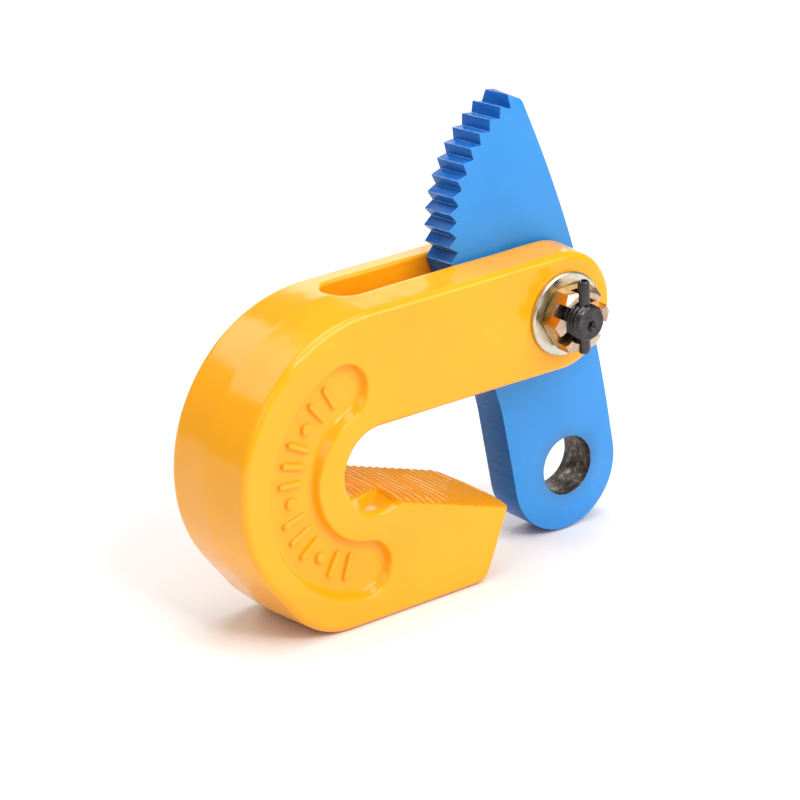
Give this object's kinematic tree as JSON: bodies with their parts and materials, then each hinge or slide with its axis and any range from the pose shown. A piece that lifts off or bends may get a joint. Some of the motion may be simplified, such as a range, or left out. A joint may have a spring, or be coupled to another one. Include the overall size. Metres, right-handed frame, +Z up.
{
  "type": "plate lifting clamp",
  "caption": "Plate lifting clamp: a cast C-shaped body with a serrated jaw, and a toothed cam arm with a lifting eye that swings in its slot on a pivot bolt.",
  "frame": {"origin": "middle of the flat foot under the C-shaped body, in the plane it stands on", "axes": "+X from the closed back of the C to its mouth and the cam arm, +Y through the thickness from the castle nut to the bolt head, +Z up"},
  "size_m": [0.2016, 0.0736, 0.1892],
  "materials": {
    "body_paint": "glossy orange-yellow enamel on a casting",
    "arm_paint": "semi-gloss blue enamel on plate",
    "black_steel": "black oxide",
    "pale_zinc": "pale yellow zinc plate",
    "gold_zinc": "golden yellow zinc plate"
  },
  "bodies": {
    "frame": {"clamp_body": "body_paint", "pivot_bolt": "black_steel", "head_washer": "pale_zinc", "nut_washer": "pale_zinc", "castle_nut": "gold_zinc", "spring_pin": "black_steel"},
    "cam": {"cam_arm": "arm_paint"}
  },
  "joints": [
    {"name": "cam_pivot", "type": "hinge", "parent": "frame", "child": "cam", "pos_m": [0.076, 0, 0.1026], "axis": [0, -1, 0], "range_deg": [-13, 128.5]}
  ]
}
